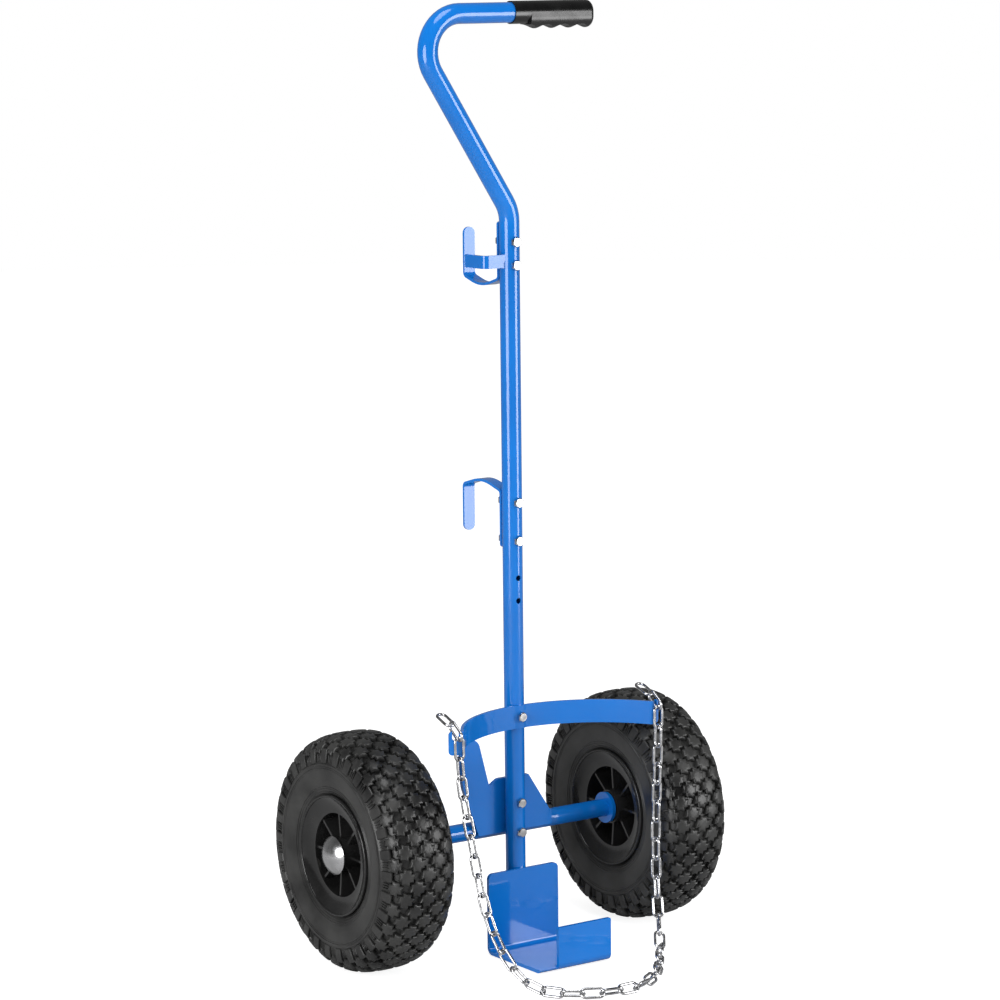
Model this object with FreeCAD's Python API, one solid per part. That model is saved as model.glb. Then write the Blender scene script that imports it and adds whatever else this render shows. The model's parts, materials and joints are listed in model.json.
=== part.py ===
import FreeCAD, Part
import os
from math import ceil, cos, hypot, pi, radians, sin, sqrt, tan

# Gas cylinder trolley: a two-piece tube pole with a bent handle, two hose hooks, a cylinder band
# with a securing chain, a sheet foot, and an axle with two pneumatic wheels.
# Sizes are in millimetres and degrees. Everything is drawn from the pole's axis, with X to the
# right seen from the front, the front at -Y and the floor at Z = 0. Each piece is moved to the
# part's own origin, the middle of the foot's underside, as it is saved.

V = FreeCAD.Vector
X_AXIS = V(1, 0, 0)
Y_AXIS = V(0, 1, 0)
Z_AXIS = V(0, 0, 1)
ORIGIN = V(0, 0, 0)

# Pole and handle
TUBE_D = 22.0
TUBE_WALL = 1.5
SEAM_Z = 475.0
STRAP_UNDER_BEND = 0.5
HANDLE_RISE = 210.3
HANDLE_LEAN = 32.8
LOWER_BEND_R = 40.0
UPPER_BEND_R = 40.0
SLEEVE_LENGTH = 90.0
SLEEVE_WALL = 2.0
SLEEVE_CLEARANCE = 0.05

# Hand grip
GRIP_START = 3.5
GRIP_LENGTH = 104.0
GRIP_R = 12.3
GRIP_DEEP_R = 17.4
GRIP_END_WALL = 5.0
GRIP_FINGERS = 4
GRIP_FINGER_PITCH = 22.5
GRIP_HOLLOW = 4.4
GRIP_RIDGE = 1.5

# Flat strip of the two hooks and the lance clip
STRIP_W = 14.0
STRIP_T = 3.0
STRIP_BEND_R = 5.0
STRIP_END_R = 3.0
HOOK_STRAP = 62.0
UPPER_HOOK_REACH = 65.0
LOWER_HOOK_REACH = 71.0
HOOK_DIP = 10.0
HOOK_BASE_R = 60.0
HOOK_PRONG = 52.5
UPPER_HOOK_OVER_SEAM = 262.5
LOWER_HOOK_OVER_SEAM = 32.0
CLIP_OVER_HOOK = 20.5
CLIP_Y = -4.0
CLIP_OUT = 35.5
CLIP_BACK = 31.0

# Bolts and holes through the pole
BOLT_D = 6.0
BOLT_HOLE_D = 6.4
BOLT_AF = 10.0
BOLT_HEAD = 4.2
NUT_H = 5.0
BOLT_PROUD = 2.0
HEAD_CHAMFER = 0.7
HOOK_BOLT_OVER_HOOK = 16.0
HOOK_BOLT_PITCH = 25.0
SPLICE_BOLT_PITCH = 42.0
SPARE_HOLE_UNDER_SEAM = 62.0
SPARE_HOLE_PITCH = 25.0
BRACKET_BOLT_OVER_AXLE = 33.0

# Cylinder band
BAND_H = 25.5
BAND_T = 3.0
BAND_Z = 247.0
EAR_TYRE_GAP = 15.1
BAND_MID_Y = -10.5
BAND_HALF_ANGLE = 60.0
SADDLE_FILLET = 6.0
EAR_LENGTH = 16.5
EAR_OUTER_R = 3.5
EAR_INNER_R = 2.0
EAR_CORNER_R = 4.0
EAR_SLOT_W = 7.0
EAR_SLOT_DEPTH = 10.0
EAR_SLOT_OUT = 7.5

# Securing chain
WIRE_D = 3.0
LINK_INNER_L = 21.6
LINK_INNER_W = 7.5
CHAIN_SLACK = 0.15
SLOT_LINK_TILT = 35.0
STOP_LINK_TILT = 20.0
CHAIN_CLEARANCE = 0.3
CHAIN_EAR_GAP = 0.5
CHAIN_FLOOR_GAP = 0.7
CHAIN_LEAN_HEIGHT = 90.0
CHAIN_LEAN = 45.0
CHAIN_REACH = 224.0

# Axle and its bracket, whose heights are measured from the axle
BRACKET_T = 5.0
BRACKET_UNDER_AXLE = 3.0
BRACKET_LEFT = 41.0
BRACKET_RIGHT = 57.0
BRACKET_END_H = 10.0
BRACKET_TOP = 58.0
BRACKET_SLOPE = 26.0
BRACKET_CORNER_R = 2.0
VALLEY_H = 50.5
VALLEY_OUT = 26.5
VALLEY_IN = 15.0
VALLEY_EDGE_R = 10.0
HORN_TOP = 106.0
HORN_IN = 41.0
HORN_OUT = 64.0
HORN_TIP_R = 12.0
HORN_WAIST_H = 55.0
HORN_WAIST = 62.0
HORN_WAIST_R = 40.0
AXLE_TUBE_D = 20.0
AXLE_D = 16.0
AXLE_TUBE_CLEARANCE = 0.1
COLLAR_D = 35.0
COLLAR_T = 4.0

# Wheels
TRACK = 364.0
WHEEL_R = 130.0
TYRE_HALF_W = 42.2
TYRE_SLOPE = 5.0
TYRE_SHOULDER = 12.3
TYRE_WALL = 7.0
TREAD_T = 10.0
TREAD_PITCHES = 30
TREAD_ROWS = 3
GROOVE_W = 2.6
GROOVE_DEPTH = 4.6
BLOCK_ROOT = 1.0
RIM_HALF_W = 36.0
FLANGE_R = 66.0
FLANGE_HALF_W = 40.0
SEAT_R = 50.5
BEAD_U = 28.5
BARREL_T = 5.0
BEAD_TOE = 8.0
BEAD_RISE = 6.0
BEAD_LEAN = 7.5
FLANGE_SEAT = 0.4
WEB_T = 5.0
DISH_U = 32.5
DISH_MID_U = 34.5
DISH_MID_R = 55.0
LIP_R = 1.5
HUB_R = 19.0
BUSH_R = 13.0
BUSH_FLANGE_R = 17.5
BUSH_FLANGE_T = 1.5
BUSH_LENGTH = 24.0
BUSH_CLEARANCE = 0.05
RIB_COUNT = 8
RIB_T = 2.6
RIB_BELOW_HUB = 6.0
RIB_BELOW_DISH = 2.0
RIM_BOLT_COUNT = 4
RIM_BOLT_PCD_R = 32.5
AIR_TUBE_WALL = 2.5
VALVE_D = 8.0
VALVE_INSET = 9.0
VALVE_REACH = 17.0
VALVE_BEND_R = 5.0
VALVE_GAP = 0.2
WASHER_D = 30.0
WASHER_T = 1.6
HUB_PLAY = 0.3
CAP_D = 42.0
CAP_DOME = 10.0
CAP_WALL = 1.2
AXLE_IN_CAP = 6.0
CAP_COLLAR_T = 2.0

# Foot
FOOT_W = 93.0
FOOT_T = 4.0
FOOT_BACK_H = 90.0
FOOT_DEPTH = 102.0
LIP_H = 48.0
LIP_W = 70.0
FOOT_BEND_R = 4.0
FOOT_CORNER_R = 6.0
LIP_CORNER_R = 2.0

# Places that follow from the sizes above
TUBE_R = TUBE_D / 2
GRIP_TIP_X = GRIP_START + GRIP_LENGTH
UPPER_HOOK_Z = SEAM_Z + UPPER_HOOK_OVER_SEAM
LOWER_HOOK_Z = SEAM_Z + LOWER_HOOK_OVER_SEAM
LOWER_BEND_RUN = LOWER_BEND_R * tan(radians(HANDLE_LEAN / 2))
LOWER_BEND_Z = UPPER_HOOK_Z + HOOK_STRAP + STRAP_UNDER_BEND + LOWER_BEND_RUN
HANDLE_Z = LOWER_BEND_Z + HANDLE_RISE
CLIP_Z = UPPER_HOOK_Z + CLIP_OVER_HOOK
HOOK_BOLT_Z = UPPER_HOOK_Z + HOOK_BOLT_OVER_HOOK
UPPER_HOOK_BOLTS = (HOOK_BOLT_Z, HOOK_BOLT_Z + HOOK_BOLT_PITCH)
SPLICE_BOLTS = (SEAM_Z - SPLICE_BOLT_PITCH / 2, SEAM_Z + SPLICE_BOLT_PITCH / 2)
SPARE_HOLE_Z = SEAM_Z - SPARE_HOLE_UNDER_SEAM
SPARE_HOLES = (SPARE_HOLE_Z, SPARE_HOLE_Z - SPARE_HOLE_PITCH)
BAND_BOLT = BAND_Z + BAND_H / 2
AXLE_Z = WHEEL_R
BRACKET_BOLT_UPPER = AXLE_Z + BRACKET_BOLT_OVER_AXLE
FOOT_BACK_Y = -TUBE_R
FOOT_FRONT_Y = FOOT_BACK_Y - FOOT_DEPTH
POLE_Y = -(FOOT_BACK_Y + FOOT_FRONT_Y) / 2
BRACKET_BACK_Y = TUBE_R + BRACKET_T
AXLE_Y = BRACKET_BACK_Y + AXLE_TUBE_D / 2
AXLE_R = AXLE_D / 2
AXLE_TUBE_HALF = TRACK / 2 - RIM_HALF_W - HUB_PLAY - WASHER_T
VALVE_U = WEB_T + VALVE_D / 2 + VALVE_GAP
DRILL_REACH = AXLE_Y + AXLE_TUBE_D
BAND_R = (TRACK / 2 - TYRE_HALF_W - EAR_TYRE_GAP) / sin(radians(BAND_HALF_ANGLE))
BAND_CENTRE_Y = BAND_MID_Y - BAND_R
BAND_TOP_Z = BAND_Z + BAND_H
LINK_R = (LINK_INNER_W + WIRE_D) / 2
LINK_HALF_RUN = (LINK_INNER_L + WIRE_D) / 2 - LINK_R
LYING_Z = LINK_R * sin(radians(CHAIN_LEAN)) + WIRE_D / 2 + CHAIN_FLOOR_GAP
BARREL_R = SEAT_R - BARREL_T


def save(name, shape):
    """Move a piece to the part's origin and write it as its own file."""
    placed = shape.copy()
    placed.translate(V(0, POLE_Y, 0))
    placed.exportStep("parts/" + name + ".step")
    print(name, len(placed.Solids), "solids", round(placed.Volume), "mm3", placed.isValid())


def group(shapes):
    """Keep separate solids together as one piece group."""
    return Part.makeCompound(shapes)


def cylinder(radius, start, axis, length):
    """A solid cylinder from a start point along an axis."""
    return Part.makeCylinder(radius, length, start, axis)


def mirrored(shape):
    """The same piece on the other side of the pole."""
    return shape.mirror(ORIGIN, X_AXIS)


def rounded_wire(points, radii, closed=False):
    """Straight runs through the points, with a tangent arc of its own radius at each corner."""
    count = len(points)
    corners = range(count) if closed else range(1, count - 1)
    entry = {}
    leave = {}
    arcs = {}
    for i in corners:
        here = points[i]
        back = (points[i - 1] - here).normalize()
        ahead = (points[(i + 1) % count] - here).normalize()
        half = back.getAngle(ahead) / 2
        reach = radii[i] / tan(half)
        entry[i] = here + back * reach
        leave[i] = here + ahead * reach
        inward = (back + ahead).normalize()
        middle = here + inward * (radii[i] / sin(half) - radii[i])
        arcs[i] = Part.Arc(entry[i], middle, leave[i]).toShape()
    edges = []
    for i in range(count if closed else count - 1):
        j = (i + 1) % count
        start = leave.get(i, points[i])
        end = entry.get(j, points[j])
        if start.distanceToPoint(end) > 1e-6:
            edges.append(Part.makeLine(start, end))
        if j in arcs:
            edges.append(arcs[j])
    return Part.Wire(Part.__sortEdges__(edges))


def swept(path, section):
    """A solid made by carrying a closed section along a path."""
    return path.makePipeShell([section], True, False)


def round_bar(path, diameter, start, direction):
    """A round bar along a path."""
    return swept(path, Part.Wire(Part.makeCircle(diameter / 2, start, direction)))


def edges_where(shape, test):
    """The edges of a shape whose middle and direction pass a test."""
    found = []
    for edge in shape.Edges:
        first, last = edge.ParameterRange
        middle = edge.valueAt((first + last) / 2)
        if test(edge, middle):
            found.append(edge)
    return found


def is_along(edge, axis):
    """True for a straight edge along an axis."""
    if edge.Curve.TypeId != "Part::GeomLine":
        return False
    return abs(edge.tangentAt(edge.FirstParameter).dot(axis)) > 0.999


def hex_prism(across_flats, start, axis, length):
    """A hexagonal prism, with two flats upright."""
    corner_r = across_flats / sqrt(3)
    turn = FreeCAD.Rotation(Z_AXIS, axis)
    corners = []
    for k in range(7):
        angle = radians(60 * k + 30)
        corners.append(start + turn.multVec(V(corner_r * cos(angle), corner_r * sin(angle), 0)))
    return Part.Face(Part.makePolygon(corners)).extrude(axis * length)


def hex_bolt(diameter, across_flats, seat, axis, grip, head, tail):
    """A bolt whose head sits at seat, with its shank running along axis through the grip."""
    prism = hex_prism(across_flats, seat - axis * head, axis, head)
    wide = across_flats / 2 + head
    cone = Part.makeCone(across_flats / 2 - HEAD_CHAMFER, wide, head, seat - axis * head, axis)
    shank = cylinder(diameter / 2, seat, axis, grip + tail)
    return prism.common(cone).fuse(shank).removeSplitter()


def hex_nut(diameter, across_flats, seat, axis, height):
    """A nut that sits at seat and runs along axis."""
    nut = hex_prism(across_flats, seat, axis, height)
    return nut.cut(cylinder(diameter / 2, seat - axis, axis, height + 2))


def pole_hole(z, diameter=BOLT_HOLE_D):
    """The drill for a hole from front to back through the pole at one height."""
    return cylinder(diameter / 2, V(0, -DRILL_REACH, z), Y_AXIS, 2 * DRILL_REACH)


def pole_bolt(z, front_y, back_y):
    """A bolt through the pole with its head in front and the nut behind."""
    bolt = hex_bolt(BOLT_D, BOLT_AF, V(0, front_y, z), Y_AXIS, back_y - front_y, BOLT_HEAD,
                    NUT_H + BOLT_PROUD)
    nut = hex_nut(BOLT_D, BOLT_AF, V(0, back_y, z), Y_AXIS, NUT_H)
    return bolt, nut


def handle_tube():
    """Upper pole tube: upright, leaning to the left, round a tight bend, then level to the right."""
    run = HANDLE_RISE * tan(radians(HANDLE_LEAN))
    start = V(0, 0, SEAM_Z)
    end = V(GRIP_TIP_X - GRIP_END_WALL, 0, HANDLE_Z)
    points = [start, V(0, 0, LOWER_BEND_Z), V(-run, 0, HANDLE_Z), end]
    path = rounded_wire(points, [0, LOWER_BEND_R, UPPER_BEND_R, 0])
    outer = round_bar(path, TUBE_D, start, Z_AXIS)
    tube = outer.cut(round_bar(path, TUBE_D - 2 * TUBE_WALL, start, Z_AXIS))
    for z in UPPER_HOOK_BOLTS + (SPLICE_BOLTS[1],):
        tube = tube.cut(pole_hole(z))
    return tube


def lower_pole():
    """Lower pole tube, from the floor to the seam."""
    height = SEAM_Z
    tube = cylinder(TUBE_R, ORIGIN, Z_AXIS, height)
    tube = tube.cut(cylinder(TUBE_R - TUBE_WALL, ORIGIN, Z_AXIS, height))
    bracket_holes = (BRACKET_BOLT_UPPER, AXLE_Z)
    for z in (SPLICE_BOLTS[0], BAND_BOLT) + SPARE_HOLES + bracket_holes:
        tube = tube.cut(pole_hole(z))
    return tube


def splice_sleeve():
    """Inner sleeve that joins the two halves of the pole across the seam."""
    outer_r = TUBE_R - TUBE_WALL - SLEEVE_CLEARANCE
    base = V(0, 0, SEAM_Z - SLEEVE_LENGTH / 2)
    sleeve = cylinder(outer_r, base, Z_AXIS, SLEEVE_LENGTH)
    sleeve = sleeve.cut(cylinder(outer_r - SLEEVE_WALL, base, Z_AXIS, SLEEVE_LENGTH))
    for z in SPLICE_BOLTS:
        sleeve = sleeve.cut(pole_hole(z))
    return sleeve


def deep_grip(start_x):
    """The grip's deeper length from a place to the tip, round above and below, before it is hollowed."""
    start = V(start_x, 0, HANDLE_Z)
    low = start - Z_AXIS * (GRIP_DEEP_R - GRIP_R)
    side = Y_AXIS * GRIP_R
    top_arc = Part.Arc(start + side, start + Z_AXIS * GRIP_R, start - side).toShape()
    low_arc = Part.Arc(low - side, low - Z_AXIS * GRIP_R, low + side).toShape()
    sides = [Part.makeLine(start - side, low - side), Part.makeLine(low + side, start + side)]
    section = Part.Face(Part.Wire([top_arc, sides[0], low_arc, sides[1]]))
    body = section.extrude(X_AXIS * (GRIP_TIP_X - start_x))
    rim = edges_where(body, lambda e, m: abs(m.x - GRIP_TIP_X) < 0.1)
    return body.makeFillet(GRIP_END_WALL, rim)


def handle_grip():
    """Closed round hand grip whose underside has a ridge after each finger's hollow."""
    last_ridge = GRIP_TIP_X - GRIP_END_WALL
    first_hollow = last_ridge - GRIP_FINGER_PITCH * (GRIP_FINGERS - 0.5)
    start = V(GRIP_START, 0, HANDLE_Z)
    plain = cylinder(GRIP_R, start, X_AXIS, first_hollow + GRIP_RIDGE - GRIP_START)
    ridges = deep_grip(first_hollow)
    half = (GRIP_FINGER_PITCH - GRIP_RIDGE) / 2
    finger_r = (half * half + GRIP_HOLLOW * GRIP_HOLLOW) / (2 * GRIP_HOLLOW)
    finger_z = HANDLE_Z - GRIP_DEEP_R + GRIP_HOLLOW - finger_r
    for k in range(GRIP_FINGERS):
        beside = V(first_hollow + GRIP_FINGER_PITCH * k, -TUBE_D, finger_z)
        ridges = ridges.cut(cylinder(finger_r, beside, Y_AXIS, 2 * TUBE_D))
    bore = cylinder(TUBE_R, start, X_AXIS, GRIP_LENGTH - GRIP_END_WALL)
    return plain.fuse(ridges).cut(bore).removeSplitter()


def strip_section(start, width_axis, thick_axis):
    """Cross-section of the flat strip about a point."""
    w = width_axis * (STRIP_W / 2)
    t = thick_axis * (STRIP_T / 2)
    corners = [start - w - t, start + w - t, start + w + t, start - w + t, start - w - t]
    return Part.makePolygon(corners)


def hook(corner_z, up, reach, bolt_heights):
    """Flat strip hook behind the pole. up is 1 for a hook that opens upward and -1 for downward."""
    back_y = TUBE_R + STRIP_T / 2
    top = V(0, back_y, corner_z + up * HOOK_STRAP)
    tip = V(0, back_y + reach, corner_z + up * HOOK_PRONG)
    points = [
        top,
        V(0, back_y, corner_z),
        V(0, back_y + reach / 2, corner_z - up * HOOK_DIP),
        V(0, back_y + reach, corner_z),
        tip,
    ]
    path = rounded_wire(points, [0, STRIP_BEND_R, HOOK_BASE_R, STRIP_BEND_R, 0])
    strip = swept(path, strip_section(top, X_AXIS, Y_AXIS))
    for end, radius in ((top, STRIP_END_R), (tip, STRIP_W / 2 - 0.2)):
        corners = edges_where(strip, lambda e, m: is_along(e, Y_AXIS) and abs(m.z - end.z) < 0.1)
        strip = strip.makeFillet(radius, corners)
    for z in bolt_heights:
        strip = strip.cut(pole_hole(z))
    return strip


def lance_clip():
    """Angle strip welded on the pole's left side: out to the left, then back."""
    start = V(-TUBE_R / 2, CLIP_Y, CLIP_Z)
    points = [start, V(-CLIP_OUT, CLIP_Y, CLIP_Z), V(-CLIP_OUT, CLIP_BACK, CLIP_Z)]
    path = rounded_wire(points, [0, STRIP_BEND_R, 0])
    strip = swept(path, strip_section(start, Z_AXIS, Y_AXIS))
    height = 2 * STRIP_W
    return strip.cut(cylinder(TUBE_R, V(0, 0, CLIP_Z - height / 2), Z_AXIS, height))


def band_end_frame(side):
    """The band end's middle point and its outward and forward directions, on one side."""
    angle = radians(BAND_HALF_ANGLE)
    out = V(side * sin(angle), cos(angle), 0)
    forward = V(side * cos(angle), -sin(angle), 0)
    return V(0, BAND_CENTRE_Y, BAND_Z) + out * BAND_R, out, forward


def upright_slab(corner, along, across, height):
    """A block on a four-sided base given by a corner and two edge vectors."""
    base = [corner, corner + along, corner + along + across, corner + across, corner]
    return Part.Face(Part.makePolygon(base)).extrude(Z_AXIS * height)


def cradle_band():
    """Bent flat bar: two arms, a saddle round the pole's front, and a slotted ear at each end."""
    base = V(0, BAND_CENTRE_Y, BAND_Z)
    sweep = 2 * BAND_HALF_ANGLE
    arms = Part.makeCylinder(BAND_R + BAND_T / 2, BAND_H, base, Z_AXIS, sweep)
    arms = arms.cut(cylinder(BAND_R - BAND_T / 2, base, Z_AXIS, BAND_H))
    arms.rotate(base, Z_AXIS, 90 - BAND_HALF_ANGLE)
    foot = V(0, 0, BAND_Z)
    pole = cylinder(TUBE_R, foot, Z_AXIS, BAND_H)
    saddle = cylinder(TUBE_R + BAND_T, foot, Z_AXIS, BAND_H)
    front = Part.makeBox(2 * TUBE_D, TUBE_D, BAND_H, V(-TUBE_D, BAND_MID_Y - TUBE_D, BAND_Z))
    band = arms.fuse(saddle.common(front)).cut(pole).removeSplitter()
    saddle_r = TUBE_R + BAND_T
    creases = edges_where(band, lambda e, m: is_along(e, Z_AXIS) and abs(hypot(m.x, m.y) - saddle_r) < 0.05
                          and m.y < BAND_MID_Y)
    band = band.makeFillet(SADDLE_FILLET, creases)
    for side in (-1, 1):
        end, out, forward = band_end_frame(side)
        corner = end - out * (BAND_T / 2)
        band = band.fuse(upright_slab(corner, out * EAR_LENGTH, forward * BAND_T, BAND_H))
    band = band.removeSplitter()
    for side in (-1, 1):
        end, out, forward = band_end_frame(side)
        outer = end - out * (BAND_T / 2) + forward * BAND_T
        inner = end + out * (BAND_T / 2)
        tip = end + out * (EAR_LENGTH - BAND_T / 2) + forward * (BAND_T / 2)
        for place, radius in ((outer, EAR_OUTER_R), (inner, EAR_INNER_R)):
            found = edges_where(band, lambda e, m: is_along(e, Z_AXIS)
                                and hypot(m.x - place.x, m.y - place.y) < 0.05)
            band = band.makeFillet(radius, found)
        corners = edges_where(band, lambda e, m: is_along(e, forward)
                              and hypot(m.x - tip.x, m.y - tip.y) < 0.05)
        band = band.makeFillet(EAR_CORNER_R, corners)
        band = band.cut(ear_slot(side))
    return band.cut(pole_hole(BAND_BOLT))


def cradle_pieces():
    """The bent bar as three lengths that meet beside the saddle: left arm, saddle and right arm."""
    band = cradle_band()
    half = TUBE_R + BAND_T + SADDLE_FILLET
    middle = Part.makeBox(2 * half, 2 * BAND_R, BAND_H, V(-half, -BAND_R, BAND_Z))
    left, right = sorted(band.cut(middle).Solids, key=lambda arm: arm.CenterOfMass.x)
    return left, band.common(middle), right


def ear_slot(side):
    """The cutter for the slot that is open at the top of an ear, with a round bottom."""
    end, out, forward = band_end_frame(side)
    through = 4 * BAND_T
    slot_r = EAR_SLOT_W / 2
    middle = end + out * EAR_SLOT_OUT - forward * (through - BAND_T) / 2
    low = middle + Z_AXIS * (BAND_H - EAR_SLOT_DEPTH + slot_r)
    block = upright_slab(low - out * slot_r, out * EAR_SLOT_W, forward * through, EAR_SLOT_DEPTH)
    return block.fuse(cylinder(slot_r, low, forward, through))


def slot_middle(side):
    """The middle of an ear's slot in plan, at the height of the slot's bottom."""
    end, out, forward = band_end_frame(side)
    middle = end + out * EAR_SLOT_OUT + forward * (BAND_T / 2)
    return V(middle.x, middle.y, BAND_TOP_Z - EAR_SLOT_DEPTH)


def chain_link():
    """One chain link about the origin, long along X and wide along Y."""
    run = 2 * LINK_HALF_RUN
    wire_r = WIRE_D / 2
    pieces = []
    for side in (-1, 1):
        pieces.append(cylinder(wire_r, V(-LINK_HALF_RUN, side * LINK_R, 0), X_AXIS, run))
        bend = Part.makeTorus(LINK_R, wire_r, ORIGIN, Z_AXIS, -180, 180, 180)
        bend.rotate(ORIGIN, Z_AXIS, -90 * side)
        bend.translate(V(side * LINK_HALF_RUN, 0, 0))
        pieces.append(bend)
    return pieces[0].fuse(pieces[1:]).removeSplitter()


def placed_link(link, centre, along, across):
    """A copy of the link with its long axis along one direction and its width along another."""
    normal = along.cross(across)
    matrix = FreeCAD.Matrix(along.x, across.x, normal.x, centre.x,
                            along.y, across.y, normal.y, centre.y,
                            along.z, across.z, normal.z, centre.z)
    copy = link.copy()
    copy.Placement = FreeCAD.Placement(matrix)
    return copy


def slot_link_frame(side):
    """Centre and long direction of the link in an ear's slot, which slopes down to the front."""
    slot = slot_middle(side)
    tilt = radians(SLOT_LINK_TILT)
    along = V(0, -cos(tilt), -sin(tilt))
    end, out, forward = band_end_frame(side)
    lean = out.y / out.x
    ear_front = -BAND_T / 2 / abs(out.x) - abs(lean) * LINK_R
    front_y = slot.y + ear_front - WIRE_D / 2 - CHAIN_EAR_GAP
    centre_y = front_y + LINK_HALF_RUN * cos(tilt)
    rest = (LINK_R + WIRE_D / 2) / cos(tilt) + BAND_T / 2 / abs(out.x) * tan(tilt)
    centre_z = slot.z + CHAIN_SLACK + rest + (slot.y - centre_y) * tan(tilt)
    return V(slot.x, centre_y, centre_z), along


def chain_pivot(side):
    """The middle of the slot link's front bend, which the hanging chain swings about."""
    centre, along = slot_link_frame(side)
    return centre + along * LINK_HALF_RUN


def chain_route():
    """Curve of the hanging chain: down on the left, over the floor in front, and up on the right."""
    hang = Z_AXIS * (LINK_R - WIRE_D / 2 - CHAIN_CLEARANCE)
    left = chain_pivot(-1) - hang
    right = chain_pivot(1) - hang
    # Each place is a share of the ears' half distance, of the way to the front, and of the drop.
    shares = [
        (-0.985, 0.015, 0.807), (-0.94, 0.096, 0.537), (-0.894, 0.249, 0.247), (-0.826, 0.424, 0.089),
        (-0.743, 0.628, 0.012), (-0.606, 0.818, 0), (-0.333, 0.978, 0), (-0.008, 1, 0), (0.326, 0.81, 0),
        (0.682, 0.41, 0), (0.849, 0.198, 0.039), (0.925, 0.082, 0.139), (0.955, 0.023, 0.29),
        (0.992, 0, 0.768),
    ]
    route = [left]
    for across, ahead, height in shares:
        y = left.y - ahead * (CHAIN_REACH + left.y)
        route.append(V(across * right.x, y, LYING_Z + height * (left.z - LYING_Z)))
    route.append(right)
    curve = Part.BSplineCurve()
    curve.interpolate(route)
    return curve


def walk(curve, step):
    """Points along a curve with the same straight distance between each and the next."""
    last = curve.LastParameter
    here = curve.FirstParameter
    points = [curve.value(here)]
    fine = (last - here) / 4000
    while True:
        low = here
        high = here
        while high < last and curve.value(high).distanceToPoint(points[-1]) < step:
            low = high
            high += fine
        if high >= last:
            return points
        for _ in range(30):
            middle = (low + high) / 2
            if curve.value(middle).distanceToPoint(points[-1]) < step:
                low = middle
            else:
                high = middle
        here = high
        points.append(curve.value(here))


def chain_joints():
    """Where the links meet along the route: an odd number of even steps that ends on the route's end."""
    curve = chain_route()
    end = curve.value(curve.LastParameter)
    count = ceil(curve.length() / (LINK_INNER_L - CHAIN_SLACK))
    count += 1 - count % 2
    low = 0.8 * LINK_INNER_L
    high = 1.2 * LINK_INNER_L
    for _ in range(50):
        step = (low + high) / 2
        points = walk(curve, step)
        if len(points) > count:
            low = step
        else:
            high = step
    joints = walk(curve, low)[:count] + [end]
    joints = [V(p.x, p.y, max(p.z, LYING_Z)) for p in joints]
    print("chain:", count, "links, step", round(low, 3), "of", LINK_INNER_L)
    return joints


def hanging_links():
    """The chain's links in order from left to right, turned a quarter from each to the next."""
    link = chain_link()
    links = []
    joints = chain_joints()
    for i in range(len(joints) - 1):
        along = (joints[i + 1] - joints[i]).normalize()
        centre = (joints[i] + joints[i + 1]) * 0.5
        level = (Y_AXIS - along * along.y).normalize()
        upright = along.cross(level)
        lean = CHAIN_LEAN * max(0.0, 1 - max(0.0, centre.z - WIRE_D) / CHAIN_LEAN_HEIGHT)
        turn = radians(90 * (i % 2) + lean)
        across = upright * cos(turn) + level * sin(turn)
        links.append(placed_link(link, centre, along, across))
    return links


def end_links():
    """The slot links and the stop links behind the ears, as two lists."""
    link = chain_link()
    slot_links = []
    stop_links = []
    stop = radians(STOP_LINK_TILT)
    up = V(0, cos(stop), sin(stop))
    offset = LINK_HALF_RUN + 2 * LINK_R - WIRE_D - CHAIN_SLACK
    for side in (-1, 1):
        centre, along = slot_link_frame(side)
        slot_links.append(placed_link(link, centre, along, along.cross(X_AXIS)))
        rear = centre - along * LINK_HALF_RUN
        stop_links.append(placed_link(link, rear + up * offset, up, X_AXIS))
    return slot_links, stop_links


def axle_bracket():
    """Flat plate behind the pole that carries the axle tube, with a horn on the left."""
    corners = [
        (BRACKET_RIGHT, -BRACKET_UNDER_AXLE, BRACKET_CORNER_R),
        (BRACKET_RIGHT, BRACKET_END_H, BRACKET_CORNER_R),
        (BRACKET_SLOPE, BRACKET_TOP, BRACKET_CORNER_R),
        (-VALLEY_IN, BRACKET_TOP, VALLEY_EDGE_R),
        (-VALLEY_OUT, VALLEY_H, BRACKET_CORNER_R),
        (-HORN_IN, HORN_TOP, HORN_TIP_R),
        (-HORN_OUT, HORN_TOP, HORN_TIP_R),
        (-HORN_WAIST, HORN_WAIST_H, HORN_WAIST_R),
        (-BRACKET_LEFT, -BRACKET_UNDER_AXLE, BRACKET_CORNER_R),
    ]
    points = [V(x, TUBE_R, AXLE_Z + h) for x, h, r in corners]
    outline = rounded_wire(points, [r for x, h, r in corners], closed=True)
    plate = Part.Face(outline).extrude(Y_AXIS * BRACKET_T)
    for z in (BRACKET_BOLT_UPPER, AXLE_Z):
        plate = plate.cut(pole_hole(z))
    return plate


def axle_pieces():
    """The cross tube, its right collar and the axle rod, drilled for the bolt that pins them."""
    middle = V(-AXLE_TUBE_HALF, AXLE_Y, AXLE_Z)
    bore_r = AXLE_R + AXLE_TUBE_CLEARANCE
    tube = cylinder(AXLE_TUBE_D / 2, middle, X_AXIS, 2 * AXLE_TUBE_HALF)
    tube = tube.cut(cylinder(bore_r, middle, X_AXIS, 2 * AXLE_TUBE_HALF)).cut(pole_hole(AXLE_Z))
    seat = V(AXLE_TUBE_HALF - COLLAR_T, AXLE_Y, AXLE_Z)
    collar = cylinder(COLLAR_D / 2, seat, X_AXIS, COLLAR_T)
    collar = collar.cut(cylinder(AXLE_TUBE_D / 2, seat, X_AXIS, COLLAR_T))
    half = wheel_outer_x() + HUB_PLAY + WASHER_T + AXLE_IN_CAP
    rod = cylinder(AXLE_R, V(-half, AXLE_Y, AXLE_Z), X_AXIS, 2 * half).cut(pole_hole(AXLE_Z))
    return tube, collar, rod


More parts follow.
